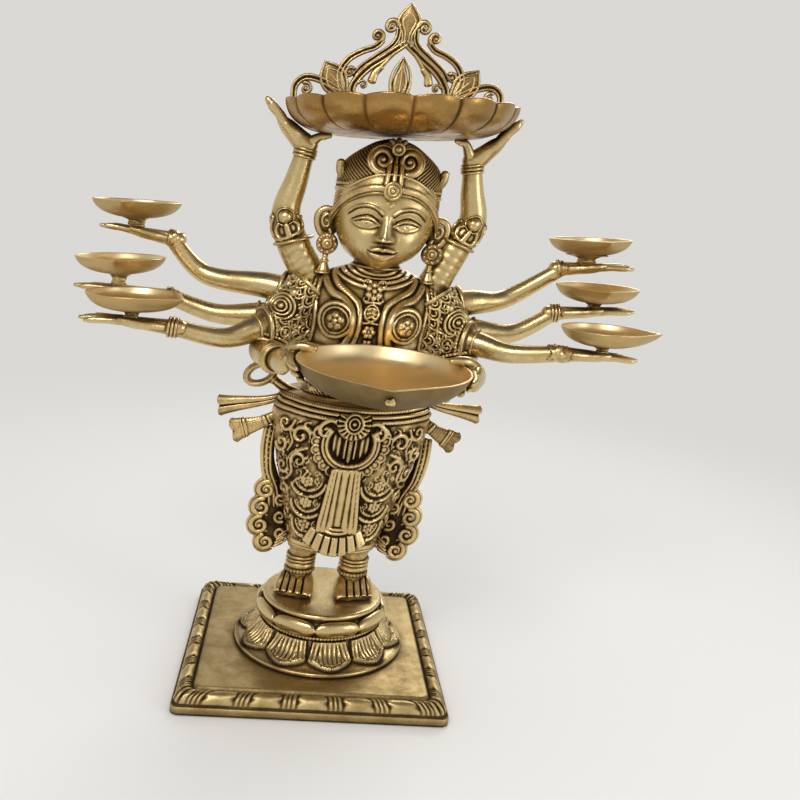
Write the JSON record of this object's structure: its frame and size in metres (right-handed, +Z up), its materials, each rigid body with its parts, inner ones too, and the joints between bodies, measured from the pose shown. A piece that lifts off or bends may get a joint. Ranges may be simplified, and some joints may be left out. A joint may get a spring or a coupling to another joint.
{
  "type": "figural oil lamp",
  "caption": "Cast brass standing figure on a lotus and square plate, holding small oil lamps on its side palms, a large lamp before its waist and a fluted dish overhead",
  "frame": {"origin": "on the surface it stands on, under the middle of the whole lamp", "axes": "+Z up, the figure faces -Y, +X to the figure's left (the viewer's right)"},
  "size_m": [0.5138, 0.314, 0.6121],
  "materials": {
    "brass_polished": "polished, softly worn",
    "brass_antique": "antique, dark in the recesses",
    "steel_fixings": "dull zinc"
  },
  "bodies": {
    "root": {"base_plate": "brass_antique", "lotus_pedestal": "brass_antique", "pedestal_washer_1": "steel_fixings", "pedestal_screw_1": "steel_fixings", "pedestal_washer_2": "steel_fixings", "pedestal_screw_2": "steel_fixings", "pedestal_washer_3": "steel_fixings", "pedestal_screw_3": "steel_fixings", "skirt_legs_and_feet": "brass_antique", "torso": "brass_antique", "head": "brass_polished", "crown": "brass_antique", "hair_bun": "brass_antique", "earring_left": "brass_antique", "side_pleat_left": "brass_antique", "raised_arm_left": "brass_polished", "front_arm_left": "brass_polished", "earring_right": "brass_antique", "side_pleat_right": "brass_antique", "raised_arm_right": "brass_polished", "front_arm_right": "brass_polished", "sash_tail_left_upper": "brass_antique", "sash_tail_left_lower": "brass_antique", "sash_tail_right_upper": "brass_antique", "sash_tail_right_lower": "brass_antique", "sash_loop_left": "brass_antique", "raised_dish": "brass_polished", "dish_crest": "brass_antique", "front_oil_lamp": "brass_polished", "side_arm_left_upper": "brass_polished", "side_hand_left_upper": "brass_polished", "oil_lamp_left_upper": "brass_polished", "side_arm_left_middle": "brass_polished", "side_hand_left_middle": "brass_polished", "oil_lamp_left_middle": "brass_polished", "side_arm_left_lower": "brass_polished", "side_hand_left_lower": "brass_polished", "oil_lamp_left_lower": "brass_polished", "side_arm_right_upper": "brass_polished", "side_hand_right_upper": "brass_polished", "oil_lamp_right_upper": "brass_polished", "side_arm_right_middle": "brass_polished", "side_hand_right_middle": "brass_polished", "oil_lamp_right_middle": "brass_polished", "side_arm_right_lower": "brass_polished", "side_hand_right_lower": "brass_polished", "oil_lamp_right_lower": "brass_polished"}
  },
  "joints": []
}
